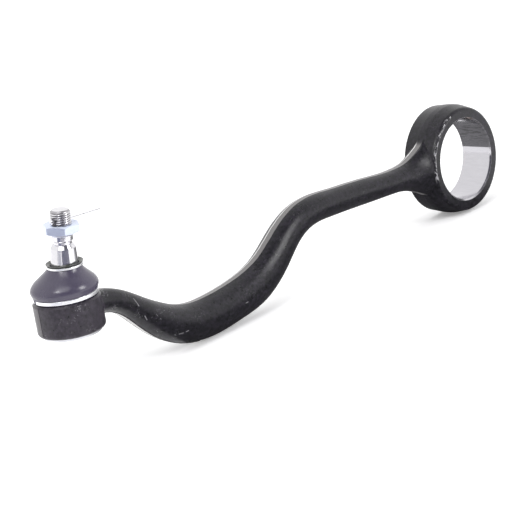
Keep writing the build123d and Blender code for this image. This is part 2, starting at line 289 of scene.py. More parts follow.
def coated_forging(settings):
    """Black coat over forged steel, with trimmed lands, a machined bore, a worn face edge and small chips. Painted
    light on it: a reflection on the lands with a highlight on their far edge, a reflection on the underside land,
    a lit side and a highlit ridge on the housing, and reflected shade in the bore.
    """
    material, tree, shader, place = new_material("coated_forging")
    x, y, z = node(tree, "ShaderNodeSeparateXYZ", {"Vector": place}).outputs
    facing = node(tree, "ShaderNodeTexCoord").outputs["Normal"]
    facing_up = node(tree, "ShaderNodeSeparateXYZ", {"Vector": facing}).outputs[2]
    eye_radius = length(tree, combine(tree, X=x, Z=z))
    joint_radius = length(tree, combine(tree, X=minus(tree, x, BALL.x), Y=y))
    around = maths(tree, "ARCTAN2", z, x)

    # Machined bore, bright out to its chamfers, with soft streaks along it
    outside_bore = within(tree, eye_radius, BORE_RADIUS + 0.9 * MM, BORE_RADIUS + 1.15 * MM)
    machined = minus(tree, 1.0, outside_bore)
    streaks = noise(tree, combine(tree, X=times(tree, y, 6.0), Y=around), 16.0, detail=4.0)
    # Painted reflected shade: dark streaks in the bore's upper part
    reflected_shade_streak = times(tree, within(tree, streaks, 0.46, 0.60), within(tree, z, 1.0 * MM, 9.0 * MM))
    tool_rings = noise(tree, combine(tree, X=maths(tree, "DIVIDE", y, 0.35 * MM)), 1.0, detail=2.0)
    # A brownish patch at the bore's top, towards its front
    top_patch = times(
        tree,
        within(tree, z, 25.0 * MM, 27.5 * MM),
        within(tree, x, 5.0 * MM, 8.5 * MM),
        under(tree, y, -6.0 * MM, 1.0 * MM),
    )
    steel = mix_colours(tree, streaks, settings.bore_colour, settings.bore_light)
    steel = layered(tree, steel, (reflected_shade_streak, 0.6, settings.streak_shade_colour), (top_patch, 0.7, settings.top_tint_colour))

    # Flash land trimmed along the bar, painted lighter as a painted reflection, with a painted highlight along its
    # far edge and the parting line under it
    on_bar = times(tree, within(tree, eye_radius, *BAR_FROM_EYE), within(tree, x, *BAR_FROM_JOINT))
    ragged = times(tree, minus(tree, noise(tree, place, 260.0), 0.5), LAND_NOISE)
    land = times(tree, under(tree, plus(tree, maths(tree, "ABSOLUTE", y), ragged), *LAND_EDGE), on_bar)
    # Painted highlight along the land's far edge, on faces that look up
    rim = band(tree, plus(tree, y, ragged), LAND_HIGHLIGHT_EDGE, 0.25 * MM, 0.6 * MM)
    rim = times(tree, rim, on_bar, within(tree, facing_up, 0.0, 0.3))
    underside = under(tree, facing_up, -0.5, -0.2)
    wander = plus(tree, y, times(tree, ragged, 0.3))
    line = times(tree, band(tree, wander, LAND_LINE, 0.5 * MM, 0.8 * MM), underside, on_bar)
    # Painted reflection: a lighter band along the underside's land, from the crank to the joint
    underside_reflection = minus(tree, within(tree, y, -1.8 * MM, -1.4 * MM), within(tree, y, 2.2 * MM, 2.5 * MM))
    underside_reflection = times(tree, underside_reflection, underside, on_bar, under(tree, x, *CRANK))

    # Dust, and the housing's painted light: its far side beside the flash ridge painted lighter, and a painted
    # highlight on the ridge
    cloudy = noise(tree, place, 38.0, detail=4.0)
    mottle = noise(tree, place, 420.0, detail=4.0, roughness=0.65)
    dust = times(tree, cloudy, within(tree, mottle, 0.40, 0.66))
    on_housing = under(tree, joint_radius, 23.5 * MM, 26.5 * MM)
    dusty = times(tree, on_housing, plus(tree, times(tree, mottle, 1.3), -0.2))
    lit_side_paint = times(tree, within(tree, y, 4.9 * MM, 5.5 * MM), below(tree, x, BALL.x - 10 * MM))
    ridge = within(tree, joint_radius, 22.8 * MM, 22.88 * MM)
    ridge = times(tree, ridge, below(tree, x, BALL.x - 15 * MM))
    coat = layered(
        tree,
        mix_colours(tree, dust, settings.coat_colour, settings.coat_dust),
        (dusty, 0.85, settings.housing_dust),
        (lit_side_paint, 0.2, settings.painted_light_colour),
        (ridge, 0.35, settings.painted_light_colour),
        (land, settings.land_reflection_share, settings.painted_light_colour),
        (underside_reflection, 0.6, settings.highlight_colour),
        (rim, 0.85, settings.highlight_colour),
        (line, 1.0, SEAM_COLOUR),
    )

    # Bare flecks, mostly on the housing
    to_joint = under(tree, x, *HOUSING_END)
    patchy = within(tree, noise(tree, place, 90.0, detail=2.0), 0.50, 0.66)
    flecks = within(tree, noise(tree, place, 900.0, detail=2.0, roughness=0.7), 0.58, 0.66)
    flecks = times(tree, flecks, patchy, plus(tree, times(tree, to_joint, 0.7), 0.15))

    # Chipped outer edge of the eye's near face, and the scratches
    near_edge = times(
        tree,
        band(tree, eye_radius, CHIPPED_RADIUS, 0.5 * MM, 1.8 * MM),
        below(tree, y, -11 * MM),
        within(tree, z, -9 * MM, -3 * MM),
        below(tree, x, -10 * MM),
    )
    chip_place = combine(tree, X=eye_radius, Y=times(tree, around, 12 * MM))
    chips = within(tree, noise(tree, chip_place, 620.0, detail=4.0), 0.53, 0.60)
    flecks = times(tree, flecks, settings.fleck_amount)
    worn = maths(tree, "MAXIMUM", flecks, times(tree, near_edge, chips, 0.85))
    for start, end in SCRATCHES:
        mark = times(tree, scratch(tree, place, start, end, SCRATCH_WIDTH), mottle)
        worn = maths(tree, "MAXIMUM", worn, mark)
    bare = maths(tree, "MAXIMUM", worn, machined)

    roughness = node(tree, "ShaderNodeMix", data_type="FLOAT")
    tree.links.new(machined, roughness.inputs[0])
    tree.links.new(swing(tree, settings.coat_roughness, mottle, 0.35), roughness.inputs[2])
    tree.links.new(plus(tree, 0.13, times(tree, streaks, 0.08)), roughness.inputs[3])

    # Relief: forged waves, cast skin, chips, parting line and tool marks
    grain = noise(tree, place, 1400.0, detail=5.0, roughness=0.6)
    edge_marks = times(tree, noise(tree, place, 500.0, detail=3.0), near_edge)
    relief = bump(tree, noise(tree, place, 55.0, detail=2.0), 1.1 * MM, strength=0.35)
    relief = bump(tree, times(tree, grain, outside_bore), 0.10 * MM, strength=0.7, normal=relief)
    relief = bump(tree, edge_marks, 0.9 * MM, strength=0.9, normal=relief)
    relief = bump(tree, minus(tree, 1.0, line), 0.3 * MM, strength=0.6, normal=relief)
    relief = bump(tree, times(tree, tool_rings, machined), 0.008 * MM, strength=0.4, normal=relief)
    finish(tree, shader, mix_colours(tree, bare, coat, steel), roughness.outputs[0], relief)
    tree.links.new(bare, shader.inputs["Metallic"])
    shader.inputs["Specular IOR Level"].default_value = settings.coat_gloss
    return material


def scratch(tree, place, start, end, width):
    """1 on a thin straight mark between two points, 0 away from it."""
    way = end - start
    offset = vector_maths(tree, "SUBTRACT", place, start)
    share = maths(tree, "DIVIDE", along_way(tree, offset, way), way.length_squared, clamp=True)
    nearest = node(tree, "ShaderNodeVectorMath", {0: way, "Scale": share}, operation="SCALE").outputs[0]
    distance = length(tree, vector_maths(tree, "SUBTRACT", offset, nearest))
    return under(tree, distance, 0.4 * width, width)


def turned_steel(name, colour, roughness, origin, axis, mark_spacing, mark_depth, thread_shade=None):
    """Turned steel, ringed round its axis. Thread shade gives a thread's painted shade, in its roots and on its
    end chamfer, as from, radius and to.
    """
    material, tree, shader, place = new_material(name)
    offset = vector_maths(tree, "SUBTRACT", place, origin)
    height = along_way(tree, offset, axis)
    rings = noise(tree, combine(tree, Z=maths(tree, "DIVIDE", height, mark_spacing)), 1.0, detail=3.0)
    smudges = noise(tree, place, 160.0, detail=3.0)
    shade = mix_colours(tree, smudges, colour, [0.82 * channel for channel in colour])
    spread = swing(tree, roughness, smudges, 0.12)
    if thread_shade:
        low, root_radius, end = thread_shade
        # Painted shade in the thread roots and on the chamfer at the thread's end
        off_axis = length(tree, vector_maths(tree, "CROSS_PRODUCT", offset, axis))
        root_shade = times(
            tree,
            under(tree, off_axis, root_radius - 0.45 * MM, root_radius),
            within(tree, height, low - 0.1 * MM, low),
            below(tree, height, end),
            maths(tree, "GREATER_THAN", off_axis, root_radius - 0.9 * MM),
        )
        chamfer_shade = times(
            tree,
            within(tree, height, end, end + 0.2 * MM),
            below(tree, height, THREAD_TOP - 0.1 * MM),
            0.7,
        )
        dark = maths(tree, "MAXIMUM", root_shade, chamfer_shade)
        shade = layered(tree, shade, (dark, 0.8, ROOT_SHADE_COLOUR))
        spread = plus(tree, spread, times(tree, dark, 0.3))
    finish(tree, shader, shade, spread, bump(tree, rings, mark_depth, strength=0.5))
    shader.inputs["Metallic"].default_value = 1.0
    return material


def plated_steel(name, colour, tint, roughness):
    """Zinc plate: a cool sheen that drifts in tint, over a faintly rolled skin."""
    material, tree, shader, place = new_material(name)
    skin = noise(tree, place, 1600.0, detail=3.0)
    shade = mix_colours(tree, noise(tree, place, 120.0, detail=2.0), colour, tint)
    spread = plus(tree, roughness, times(tree, skin, 0.10))
    finish(tree, shader, shade, spread, bump(tree, skin, 0.02 * MM, strength=0.5))
    shader.inputs["Metallic"].default_value = 1.0
    return material


def moulded_rubber(name, colour, bloom, roughness, lip=None):
    """Satin rubber with a pale bloom and a fine grain. A lip is a point, a direction and a colour past it."""
    material, tree, shader, place = new_material(name)
    clouds = noise(tree, place, 90.0, detail=4.0)
    speckle = noise(tree, place, 700.0, detail=3.0)
    grain = noise(tree, place, 2200.0, detail=3.0)
    shade = mix_colours(tree, times(tree, clouds, speckle), colour, bloom)
    if lip:
        start, direction, lip_colour = lip
        past = along_way(tree, vector_maths(tree, "SUBTRACT", place, start), direction)
        shade = mix_colours(tree, within(tree, past, 0.0, 0.4 * MM), shade, lip_colour)
    spread = swing(tree, roughness, clouds, 0.16)
    finish(tree, shader, shade, spread, bump(tree, grain, 0.03 * MM, strength=0.25))
    shader.inputs["Specular IOR Level"].default_value = 0.55
    return material


# Mesh making


def rings_to_mesh(name, rings, closed_section=False):
    """Joins rings of points into a skin. The ends get a face each, unless the section closes on itself."""
    mesh = bmesh.new()
    loops = [[mesh.verts.new(point) for point in ring] for ring in rings]
    pairs = list(zip(loops, loops[1:]))
    if closed_section:
        pairs.append((loops[-1], loops[0]))
    for lower, upper in pairs:
        count = len(lower)
        for index in range(count):
            following = (index + 1) % count
            mesh.faces.new((lower[index], lower[following], upper[following], upper[index]))
    if not closed_section:
        mesh.faces.new(list(reversed(loops[0])))
        mesh.faces.new(loops[-1])
    bmesh.ops.recalc_face_normals(mesh, faces=mesh.faces)
    for face in mesh.faces:
        face.smooth = len(face.verts) == 4
    data = bpy.data.meshes.new(name)
    mesh.to_mesh(data)
    mesh.free()
    return data


def circle_points(centre, side, up_side, radius, count):
    """Points round a circle in the plane of two crossed directions."""
    turns = [2 * pi * index / count for index in range(count)]
    return [centre + side * (radius * cos(turn)) + up_side * (radius * sin(turn)) for turn in turns]


def add_piece(name, mesh, material=None):
    piece = bpy.data.objects.new(name, mesh)
    bpy.context.scene.collection.objects.link(piece)
    if material:
        piece.data.materials.clear()
        piece.data.materials.append(material)
    return piece


def bake_piece(piece, name):
    """Turns a piece with live modifiers into a plain mesh of its own."""
    depsgraph = bpy.context.evaluated_depsgraph_get()
    mesh = bpy.data.meshes.new_from_object(piece.evaluated_get(depsgraph))
    mesh.name = name
    bpy.data.objects.remove(piece)
    return add_piece(name, mesh)


def paint_node(name, material):
    """Gives a CAD node a better finish."""
    slots = frame["nodes"][name].material_slots
    if not slots:
        frame["nodes"][name].data.materials.append(material)
    for each in slots:
        each.material = material


def sharpen(mesh, degrees):
    """Marks the edges that turn more than an angle, so that shading breaks there."""
    work = bmesh.new()
    work.from_mesh(mesh)
    for edge in work.edges:
        edge.smooth = edge.calc_face_angle(0.0) < radians(degrees)
    work.to_mesh(mesh)
    work.free()


def new_group(name, sizes):
    """A node group that takes a mesh, its sizes and a material, and gives a mesh."""
    tree = bpy.data.node_groups.new(name, "GeometryNodeTree")
    interface = tree.interface
    interface.new_socket("Geometry", in_out="INPUT", socket_type="NodeSocketGeometry")
    for size in sizes:
        interface.new_socket(size, in_out="INPUT", socket_type="NodeSocketFloat")
    interface.new_socket("Material", in_out="INPUT", socket_type="NodeSocketMaterial")
    interface.new_socket("Geometry", in_out="OUTPUT", socket_type="NodeSocketGeometry")
    return tree, node(tree, "NodeGroupInput").outputs


def end_group(tree, geometry, material):
    """Ends a node group in real, painted geometry."""
    real = node(tree, "GeometryNodeRealizeInstances", {"Geometry": geometry})
    painted = node(tree, "GeometryNodeSetMaterial", {"Geometry": real.outputs[0], "Material": material})
    node(tree, "NodeGroupOutput", {"Geometry": painted.outputs[0]})
    return tree


def run_group(piece, tree, values):
    """Runs a node group on a piece, with each input set by its identifier, and bakes it."""
    runner = piece.modifiers.new("Group", "NODES")
    runner.node_group = tree
    for item in tree.interface.items_tree:
        if item.in_out == "INPUT" and item.name in values:
            runner[item.identifier] = values[item.name]
    return bake_piece(piece, tree.name)


# Settings

LENGTH = {"subtype": "DISTANCE", "unit": "LENGTH", "precision": 5}
COLOUR = {"subtype": "COLOR"}
SHARE = {"subtype": "FACTOR", "min": 0, "max": 1}
ANGLE = {"subtype": "ANGLE"}
WATTS = {"unit": "POWER", "min": 0}


class ForgingSettings(bpy.types.PropertyGroup):
    coat_colour: FloatVectorProperty(name="Coat", description="Dark", default=(0.004, 0.004, 0.006), **COLOUR)
    coat_dust: FloatVectorProperty(
        name="Dust", description="Where the coat is dusty", default=(0.030, 0.024, 0.038), **COLOUR
    )
    housing_dust: FloatVectorProperty(
        name="Housing dust", description="Dusty coat on the housing", default=(0.060, 0.049, 0.068), **COLOUR
    )
    # Painted light: grey laid on the lands as a painted reflection, and on the housing's lit side and ridge
    painted_light_colour: FloatVectorProperty(name="Land", description="Painted light", default=(0.22, 0.21, 0.21), **COLOUR)
    # Painted highlight on the land's far edge, also used for the painted reflection on the underside land
    highlight_colour: FloatVectorProperty(
        name="Rim", description="Painted highlight on the land's far edge", default=(0.80, 0.79, 0.78), **COLOUR
    )
    # How strongly the lands are painted lighter, as a painted reflection
    land_reflection_share: FloatProperty(name="Land reflection", description="How strongly the land's painted reflection shows", default=0.75, **SHARE)
    bore_colour: FloatVectorProperty(name="Bore", description="Steel", default=(0.52, 0.51, 0.54), **COLOUR)
    bore_light: FloatVectorProperty(
        name="Bore light", description="Lighter bands in the bore", default=(0.61, 0.60, 0.63), **COLOUR
    )
    streak_shade_colour: FloatVectorProperty(
        name="Bore streaks", description="Painted reflected shade in the bore's upper part", default=(0.20, 0.19, 0.19), **COLOUR
    )
    top_tint_colour: FloatVectorProperty(
        name="Top tint", description="Brownish tint at the bore's top", default=(0.20, 0.14, 0.12), **COLOUR
    )
    coat_roughness: FloatProperty(name="Roughness", description="Spread of its gloss", default=0.33, **SHARE)
    coat_gloss: FloatProperty(name="Gloss", description="Strength of its gloss", default=0.36, **SHARE)
    fleck_amount: FloatProperty(name="Flecks", description="How bare the flecks are", default=0.55, **SHARE)


class BurrSettings(bpy.types.PropertyGroup):
    start: FloatProperty(name="Start", description="From the joint to its start", default=27 * MM, **LENGTH)
    end: FloatProperty(name="End", description="From the joint to its end", default=112 * MM, **LENGTH)
    side: FloatProperty(name="Side", description="From the parting plane", default=-2.2 * MM, **LENGTH)
    radius: FloatProperty(name="Radius", description="Radius of the burr", default=0.42 * MM, **LENGTH)
    steps: IntProperty(name="Steps", description="Pieces along the burr", default=60, min=8, max=400)


class StudSettings(bpy.types.PropertyGroup):
    thread_pitch: FloatProperty(name="Pitch", description="Thread pitch", default=1.5 * MM, **LENGTH)
    thread_depth: FloatProperty(name="Depth", description="Thread depth", default=0.88 * MM, **LENGTH)
    thread_radius: FloatProperty(name="Radius", description="Outside of the thread", default=7 * MM, **LENGTH)
    thread_lead: FloatProperty(name="Lead", description="Plain part before it", default=2.6 * MM, **LENGTH)
    steps_per_turn: IntProperty(name="Steps", description="Rings for each turn", default=10, min=4, max=24)
    sides: IntProperty(name="Sides", description="Points round the stud", default=96, min=24, max=256)
    colour: FloatVectorProperty(name="Steel", description="Polished", default=(0.80, 0.79, 0.82), **COLOUR)


class PinSettings(bpy.types.PropertyGroup):
    wire_radius: FloatProperty(name="Wire radius", description="Half-round wire", default=0.8 * MM, **LENGTH)
    leg_gap: FloatProperty(name="Gap", description="Between the two legs", default=0.13 * MM, **LENGTH)
    eye_radius: FloatProperty(name="Eye radius", description="Inside of the eye", default=0.9 * MM, **LENGTH)
    eye_width: FloatProperty(name="Eye width", description="Width of its wire", default=1.6 * MM, **LENGTH)
    colour: FloatVectorProperty(name="Wire", description="Bright wire", default=(0.97, 0.96, 0.99), **COLOUR)


class PlateSettings(bpy.types.PropertyGroup):
    nut: FloatVectorProperty(name="Nut", description="Bluish zinc", default=(0.64, 0.70, 0.84), **COLOUR)
    nut_tint: FloatVectorProperty(name="Nut tint", description="Paler", default=(0.76, 0.81, 0.93), **COLOUR)
    ring: FloatVectorProperty(name="Rings", description="Bright", default=(0.95, 0.95, 0.96), **COLOUR)
    ring_tint: FloatVectorProperty(name="Ring tint", description="Duller", default=(0.9, 0.9, 0.93), **COLOUR)
    cap: FloatVectorProperty(name="Cap", description="Bright zinc", default=(0.78, 0.78, 0.80), **COLOUR)
    cap_tint: FloatVectorProperty(name="Cap tint", description="Duller", default=(0.66, 0.66, 0.70), **COLOUR)


class BootSettings(bpy.types.PropertyGroup):
    wall: FloatProperty(name="Wall", description="Rubber thickness", default=1.4 * MM, **LENGTH)
    bulge_radius: FloatProperty(name="Bulge", description="Widest radius", default=22.8 * MM, **LENGTH)
    bead_radius: FloatProperty(name="Bead", description="Under the clip ring", default=20.8 * MM, **LENGTH)
    neck_radius: FloatProperty(name="Neck", description="Under the upper ring", default=11.1 * MM, **LENGTH)
    lip_radius: FloatProperty(name="Lip", description="Radius of the dished lip", default=12.5 * MM, **LENGTH)
    neck_tilt: FloatProperty(name="Neck tilt", description="Lean of the neck", default=radians(2.0), **ANGLE)
    sides: IntProperty(name="Sides", description="Points round the boot", default=96, min=16, max=256)
    colour: FloatVectorProperty(name="Rubber", description="Dark", default=(0.050, 0.043, 0.072), **COLOUR)
    bloom: FloatVectorProperty(name="Bloom", description="Paler", default=(0.098, 0.087, 0.126), **COLOUR)
    lip_colour: FloatVectorProperty(name="Lip", description="Greyer", default=(0.050, 0.054, 0.046), **COLOUR)
    roughness: FloatProperty(name="Roughness", description="Spread of its gloss", default=0.25, **SHARE)


class StageSettings(bpy.types.PropertyGroup):
    lens: FloatProperty(name="Lens", description="Focal length in millimetres", default=215.8, unit="CAMERA")
    floor_size: FloatProperty(name="Floor", description="Side of the floor", default=14.0, **LENGTH)
    floor_colour: FloatVectorProperty(
        name="Floor colour", description="Pale floor", default=(0.95, 0.95, 0.95), **COLOUR
    )
    floor_glow: FloatProperty(name="Floor glow", description="Light of its own", default=0.25, min=0)
    sky_strength: FloatProperty(name="Sky", description="Light from all round", default=1.15, min=0)
    sky_colour: FloatVectorProperty(
        name="Sky colour", description="Light from all round", default=(1.0, 1.0, 1.0), **COLOUR
    )
    dim_colour: FloatVectorProperty(
        name="Dim colour", description="Unlit side of the studio", default=(0.10, 0.10, 0.12), **COLOUR
    )
    dim_direction: FloatVectorProperty(
        name="Dim direction", description="Where it is unlit", default=(-0.25, -0.80, 0.50), subtype="XYZ"
    )
    dim_edge: FloatProperty(name="Dim edge", description="To its soft edge", default=radians(72.0), **ANGLE)
    dim_core: FloatProperty(name="Dim core", description="To its darkest", default=radians(30.0), **ANGLE)
    card_colour: FloatVectorProperty(
        name="Card colour", description="Grey card on the floor", default=(0.23, 0.23, 0.235), **COLOUR
    )
    blue_colour: FloatVectorProperty(
        name="Blue card colour", description="Card left of the joint", default=(0.18, 0.19, 0.27), **COLOUR
    )
    screen_colour: FloatVectorProperty(
        name="Screen colour", description="Dark screen in front", default=(0.15, 0.15, 0.20), **COLOUR
    )
    key_power: FloatProperty(name="Key light", description="Power of the broad light", default=7.0, **WATTS)
    strip_power: FloatProperty(name="Strip light", description="Power of the strip", default=30.0, **WATTS)
    left_power: FloatProperty(name="Left light", description="Power of the small light", default=5.0, **WATTS)


# Pieces


class ARM_OT_forging(bpy.types.Operator):
    """Finish the forging: coat, trimmed land, machined bore and bare flecks"""

    bl_idname = "suspension_arm.forging"
    bl_label = "Forging"

    def execute(self, context):
        paint_node("forged_arm", coated_forging(context.scene.forging_settings))
        return {"FINISHED"}


def burr_tree():
    """Runs a fine bead along a line of edges."""
    tree, group = new_group("trim_burr", ("Radius",))
    path = node(tree, "GeometryNodeMeshToCurve", {"Mesh": group["Geometry"]}).outputs[0]
    circle = {"Resolution": 8, "Radius": group["Radius"]}
    section = node(tree, "GeometryNodeCurvePrimitiveCircle", circle).outputs[0]
    sweep = {"Curve": path, "Profile Curve": section, "Fill Caps": True}
    bead = node(tree, "GeometryNodeCurveToMesh", sweep)
    return end_group(tree, bead.outputs[0], group["Material"])


class ARM_OT_burr(bpy.types.Operator):
    """Run the fine burr that trimming left along the land under the cranked end"""

    bl_idname = "suspension_arm.burr"
    bl_label = "Trim burr"

    def execute(self, context):
        settings = context.scene.burr_settings
        arm = frame["nodes"]["forged_arm"].data
        corners = [vertex.co for vertex in arm.vertices]
        skin = BVHTree.FromPolygons(corners, [face.vertices for face in arm.polygons])
        points = []
        for index in range(settings.steps + 1):
            along = settings.start + (settings.end - settings.start) * index / settings.steps
            under_arm = Vector((BALL.x + along, settings.side, ARM_LOW.z - 10 * MM))
            hit = skin.ray_cast(under_arm, UP)[0]
            if hit is None:
                raise RuntimeError("The burr's path leaves the arm")
            points.append(hit)
        line = bpy.data.meshes.new("burr_line")
        line.from_pydata(points, [(index, index + 1) for index in range(settings.steps)], [])
        values = {"Radius": settings.radius, "Material": bpy.data.materials["coated_forging"]}
        burr = run_group(add_piece("burr_path", line), burr_tree(), values)
        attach(burr, "arm")
        return {"FINISHED"}


def thread_tree():
    """Cuts a helical thread into a blank that stands along Z."""
    tree, group = new_group("helical_thread", ("Pitch", "Depth", "Radius", "Start", "End"))
    place = node(tree, "GeometryNodeInputPosition").outputs[0]
    x, y, z = node(tree, "ShaderNodeSeparateXYZ", {"Vector": place}).outputs
    radius = length(tree, combine(tree, X=x, Y=y))

    # Height within one turn, from 0 at a root to 1 at a crest and back
    turn = maths(tree, "DIVIDE", maths(tree, "ARCTAN2", y, x), 2 * pi)
    along = minus(tree, maths(tree, "DIVIDE", z, group["Pitch"]), turn)
    climb = times(tree, maths(tree, "PINGPONG", along, 0.5), 2.0, 1.15)
    crest = maths(tree, "MINIMUM", climb, 1.0)

    # The thread fades in over its first turn and runs out over the end chamfer
    from_start = minus(tree, z, group["Start"])
    fade = within(tree, from_start, 0.0, group["Pitch"])
    cut = times(tree, minus(tree, 1.0, crest), group["Depth"], fade)
    after_start = maths(tree, "GREATER_THAN", from_start, 0.0)
    threaded = times(tree, after_start, below(tree, z, group["End"]))
    new_radius = maths(tree, "MINIMUM", radius, minus(tree, group["Radius"], cut))
    share = maths(tree, "DIVIDE", new_radius, maths(tree, "MAXIMUM", radius, 1e-6))
    moved = vector_maths(tree, "MULTIPLY", place, combine(tree, X=share, Y=share, Z=1.0))
    change = {"Geometry": group["Geometry"], "Selection": threaded, "Position": moved}
    shaped = node(tree, "GeometryNodeSetPosition", change)
    return end_group(tree, shaped.outputs[0], group["Material"])


class ARM_OT_stud(bpy.types.Operator):
    """Build the ball stud from the CAD outline, with its thread and its cross hole"""

    bl_idname = "suspension_arm.stud"
    bl_label = "Ball stud"

    def execute(self, context):
        settings = context.scene.stud_settings
        thread_start, thread_shoulder = self.thread_ends(settings)
        thread_shade = (thread_start, settings.thread_radius - 0.3 * MM, thread_shoulder + 0.2 * MM)
        material = turned_steel(
            "stud_steel", settings.colour, 0.16, BALL, STUD_AXIS, 0.12 * MM, 0.015 * MM, thread_shade
        )
        blank = add_piece("stud_blank", self.blank(settings, thread_start, thread_shoulder))
        values = {
            "Pitch": settings.thread_pitch,
            "Depth": settings.thread_depth,
            "Radius": settings.thread_radius,
            "Start": thread_start + settings.thread_lead,
            "End": THREAD_TOP,
            "Material": material,
        }
        threaded = run_group(blank, thread_tree(), values)
        drill = add_piece("drill", self.drill(settings), material)
        cut = threaded.modifiers.new("Cross hole", "BOOLEAN")
        cut.object = drill
        cut.operation = "DIFFERENCE"
        cut.solver = "EXACT"
        stud = bake_piece(threaded, "stud")
        bpy.data.objects.remove(drill)
        stud.data.transform(STUD_PLACE)
        sharpen(stud.data, 18)
        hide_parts("ball_stud")
        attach(stud, "stud")
        return {"FINISHED"}

    def thread_ends(self, settings):
        """Heights between which the CAD stud is as wide as its thread."""
        at_thread = []
        for height, radius in reversed(STUD_OUTLINE):
            if abs(radius - settings.thread_radius) < 0.02 * MM:
                at_thread.append(height)
            elif at_thread:
                break
        return min(at_thread), max(at_thread)

    def blank(self, settings, thread_start, thread_shoulder):
        """Stud without its thread. The outline below the thread is the CAD's own."""
        widest = settings.thread_radius
        outline = [(height, radius) for height, radius in STUD_OUTLINE if height < thread_start]
        step = settings.thread_pitch / settings.steps_per_turn
        height = thread_start
        while height < thread_shoulder:
            outline.append((height, widest))
            height += step
        chamfer = THREAD_TOP - thread_shoulder
        for share in (0.0, 0.25, 0.5, 0.75, 1.0):
            outline.append((thread_shoulder + share * chamfer, widest - share * chamfer))
        across = Vector((1, 0, 0)), Vector((0, 1, 0))
        rings = [circle_points(UP * height, *across, radius, settings.sides) for height, radius in outline]
        return rings_to_mesh("stud_blank", rings)

    def drill(self, settings):
        """Rod that cuts the split pin's cross hole, placed by the points round the CAD hole's far mouth."""
        mouth = []
        for vertex in frame["nodes"]["ball_stud"].data.vertices:
            offset = vertex.co - BALL
            at_hole = NUT_HIGH - 0.5 * MM < offset.dot(STUD_AXIS) < THREAD_TOP - 2.5 * MM
            if at_hole and offset.dot(PIN_AXIS) > 3 * MM:
                mouth.append(offset)
        heights = [offset.dot(STUD_AXIS) for offset in mouth]
        middle = sum(mouth, Vector()) / len(mouth)
        way = (middle - STUD_AXIS * middle.dot(STUD_AXIS)).normalized()
        way = Vector((way.dot(PIN_AXIS), way.dot(PIN_SIDE), 0))
        side = Vector((-way.y, way.x, 0))
        centre = UP * ((min(heights) + max(heights)) / 2)
        radius = (max(heights) - min(heights)) / 2
        reach_out = 2 * settings.thread_radius
        rings = [circle_points(centre + way * end, side, UP, radius, 48) for end in (-reach_out, reach_out)]
        return rings_to_mesh("drill", rings)


class ARM_OT_nut(bpy.types.Operator):
    """Finish the nut in bluish zinc plate"""

    bl_idname = "suspension_arm.nut"
    bl_label = "Nut"

    def execute(self, context):
        settings = context.scene.plate_settings
        paint_node("hex_nut", plated_steel("zinc_plate", settings.nut, settings.nut_tint, roughness=0.26))
        return {"FINISHED"}


class ARM_OT_pin(bpy.types.Operator):
    """Build the split pin from half-round wire, folded round its eye"""

    bl_idname = "suspension_arm.pin"
    bl_label = "Split pin"

    def execute(self, context):
        settings = context.scene.pin_settings
        eye, start, leg_length = self.places(settings)
        thickness = settings.wire_radius - settings.leg_gap / 2
        bend_end = pi - 0.42

        # Along one leg, round the eye and back along the other, as flat centre, outward way and half width
        places = [share * leg_length for share in (1.0, 0.75, 0.5, 0.25, 0.04)]
        path = [self.on_leg(settings, start, along, STUD_AXIS) for along in places]
        steps = 24
        for index in range(steps + 1):
            turn = bend_end * (1 - 2 * index / steps)
            outward = -PIN_AXIS * cos(turn) + STUD_AXIS * sin(turn)
            path.append((eye + outward * settings.eye_radius, outward, settings.eye_width / 2))
        path += [self.on_leg(settings, start, along, -STUD_AXIS) for along in reversed(places)]
        rings = [half_round(centre, PIN_SIDE, outward, half, thickness) for centre, outward, half in path]
        mesh = rings_to_mesh("pin", rings)
        sharpen(mesh, 50)
        wire = turned_steel("pin_wire", settings.colour, 0.48, BALL, PIN_AXIS, 0.5 * MM, 0.01 * MM)
        pin = add_piece("pin", mesh, wire)
        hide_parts("cotter_pin")
        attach(pin, "pin")
        return {"FINISHED"}

    def on_leg(self, settings, start, along, outward):
        return start + PIN_AXIS * along + outward * (settings.leg_gap / 2), outward, settings.wire_radius

    def places(self, settings):
        """Centre of the eye, start of the legs and their length, from the CAD pin."""
        offsets = [vertex.co - BALL for vertex in frame["nodes"]["cotter_pin"].data.vertices]
        along = [offset.dot(PIN_AXIS) for offset in offsets]
        tips = [offset for offset in offsets if offset.dot(PIN_AXIS) > max(along) - 1 * MM]
        height = sum(offset.dot(STUD_AXIS) for offset in tips) / len(tips)
        level = BALL + STUD_AXIS * height
        eye_place = min(along) + settings.eye_radius + settings.wire_radius
        leg_start = eye_place + settings.eye_radius + 0.6 * MM
        return level + PIN_AXIS * eye_place, level + PIN_AXIS * leg_start, max(along) - leg_start


def half_round(flat_centre, side, outward, half_width, thickness, count=9):
    """Points of a half-round wire's section: its flat side, then over its back."""
    side, outward = side * half_width, outward * thickness
    turns = [pi * index / (count - 1) for index in range(count)]
    return [flat_centre + side * cos(turn) + outward * sin(turn) for turn in turns]


